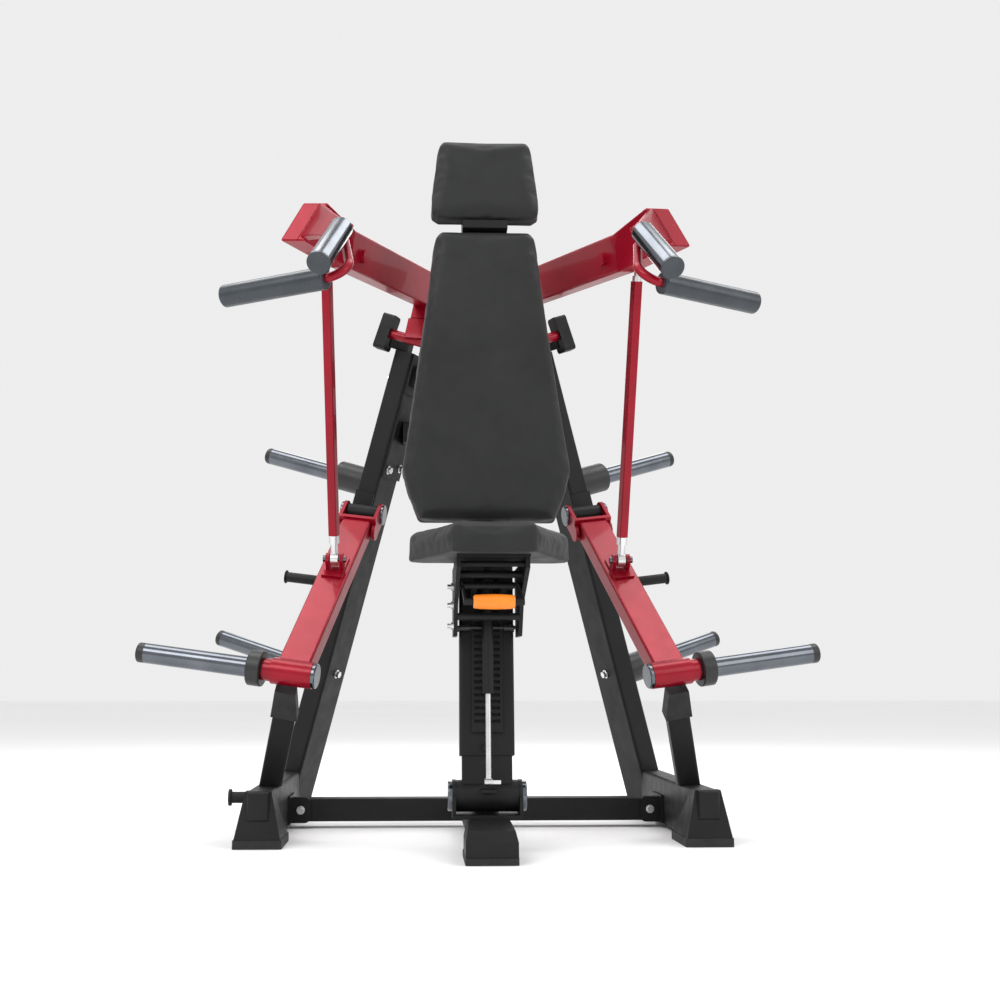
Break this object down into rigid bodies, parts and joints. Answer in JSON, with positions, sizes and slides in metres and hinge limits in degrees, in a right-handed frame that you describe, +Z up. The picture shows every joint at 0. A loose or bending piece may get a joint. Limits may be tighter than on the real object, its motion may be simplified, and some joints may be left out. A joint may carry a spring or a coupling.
{
  "type": "chest press machine",
  "caption": "Plate-loaded seated chest press with independent press arms linked by push rods to weight levers, an adjustable seat, a tall backrest and plate storage horns.",
  "frame": {"origin": "on the floor, on the plane of symmetry, under the middle of the bounding box", "axes": "+Z up, the user sits facing -Y, +X is across the machine"},
  "size_m": [1.6786, 1.4151, 1.6927],
  "materials": {
    "black_paint": "satin powder coat",
    "red_paint": "gloss powder coat",
    "chrome": "polished",
    "zinc_steel": "zinc plated",
    "rubber": "matt",
    "dark_grip": "satin slate",
    "orange_plastic": "gloss",
    "upholstery": "fine grained, dark grey",
    "black_plastic": "satin",
    "board": "black stained plywood"
  },
  "bodies": {
    "frame": {"arm_bearing_left": "black_paint", "arm_bearing_right": "black_paint", "back_column": "black_paint", "backrest_board": "board", "backrest_pad": "upholstery", "base_beam": "black_paint", "cross_beam": "black_paint", "floor_rail_left": "black_paint", "floor_rail_right": "black_paint", "foot_band_peg": "black_paint", "frame_bolts": "zinc_steel", "front_foot": "black_paint", "gas_rod": "chrome", "headrest_bracket": "black_paint", "headrest_pad": "upholstery", "knuckle_pin": "chrome", "lever_pivot_left": "black_paint", "lever_pivot_right": "black_paint", "ratchet_plate": "black_paint", "rear_tie": "black_paint", "rubber_feet": "rubber", "seat_column": "black_paint", "stop_bumpers": "rubber", "stop_post_left": "black_paint", "stop_post_right": "black_paint", "storage_caps": "black_plastic", "storage_collars": "black_plastic", "storage_horns_left": "chrome", "storage_horns_right": "chrome", "top_tie": "black_paint", "upright_left": "black_paint", "upright_right": "black_paint"},
    "seat": {"seat_carriage": "black_paint", "carriage_rollers": "zinc_steel", "gas_cylinder": "black_paint", "seat_pad": "upholstery"},
    "release": {"release_lever": "black_paint", "release_grip": "orange_plastic"},
    "arm_right": {"press_arm_right": "red_paint", "handle_bar_right": "red_paint", "neutral_grip_right": "chrome", "wide_grip_right": "dark_grip"},
    "lever_right": {"weight_lever_right": "red_paint", "lever_pins_right": "chrome", "load_horn_right": "chrome", "load_collar_right": "black_plastic", "lever_peg_right": "black_paint"},
    "rod_right": {"push_rod_right": "red_paint", "rod_ends_right": "zinc_steel"},
    "arm_left": {"press_arm_left": "red_paint", "handle_bar_left": "red_paint", "neutral_grip_left": "chrome", "wide_grip_left": "dark_grip"},
    "lever_left": {"weight_lever_left": "red_paint", "lever_pins_left": "chrome", "load_horn_left": "chrome", "load_collar_left": "black_plastic", "lever_peg_left": "black_paint"},
    "rod_left": {"push_rod_left": "red_paint", "rod_ends_left": "zinc_steel"}
  },
  "joints": [
    {"name": "arm_right_hinge", "type": "hinge", "parent": "frame", "child": "arm_right", "pos_m": [0.249, 0.34535, 1.36], "axis": [-0.8773, -0.3368, -0.342], "range_deg": [0, 28]},
    {"name": "lever_right_hinge", "type": "hinge", "parent": "frame", "child": "lever_right", "pos_m": [0.309, 0.34535, 0.843], "axis": [-0.9745, -0.1824, -0.1306], "range_deg": [0, 40.66]},
    {"name": "rod_right_hinge", "type": "hinge", "parent": "lever_right", "child": "rod_right", "pos_m": [0.372, 0.11535, 0.693], "axis": [0.9973, 0.0622, 0.0401], "range_deg": [0, 31.48]},
    {"name": "arm_left_hinge", "type": "hinge", "parent": "frame", "child": "arm_left", "pos_m": [-0.249, 0.34535, 1.36], "axis": [-0.8773, 0.3368, 0.342], "range_deg": [0, 28]},
    {"name": "lever_left_hinge", "type": "hinge", "parent": "frame", "child": "lever_left", "pos_m": [-0.309, 0.34535, 0.843], "axis": [-0.9745, 0.1824, 0.1306], "range_deg": [0, 40.66]},
    {"name": "rod_left_hinge", "type": "hinge", "parent": "lever_left", "child": "rod_left", "pos_m": [-0.372, 0.11535, 0.693], "axis": [0.9973, -0.0622, -0.0401], "range_deg": [0, 31.48]},
    {"name": "seat_slide", "type": "slide", "parent": "frame", "child": "seat", "axis": [0, -0.1, -0.995], "range_m": [0, 0.17]},
    {"name": "release_hinge", "type": "hinge", "parent": "seat", "child": "release", "pos_m": [0, -0.41665, 0.585], "axis": [-1, 0, 0], "range_deg": [0, 18], "stiffness_Nm_per_rad": 2, "springref_deg": -11.46}
  ],
  "couplings": [
    {"joint": "lever_right_hinge", "follows": "arm_right_hinge", "ratio": 1.4487},
    {"joint": "rod_right_hinge", "follows": "arm_right_hinge", "ratio": 1.1206},
    {"joint": "lever_left_hinge", "follows": "arm_left_hinge", "ratio": 1.4487},
    {"joint": "rod_left_hinge", "follows": "arm_left_hinge", "ratio": 1.1206}
  ]
}
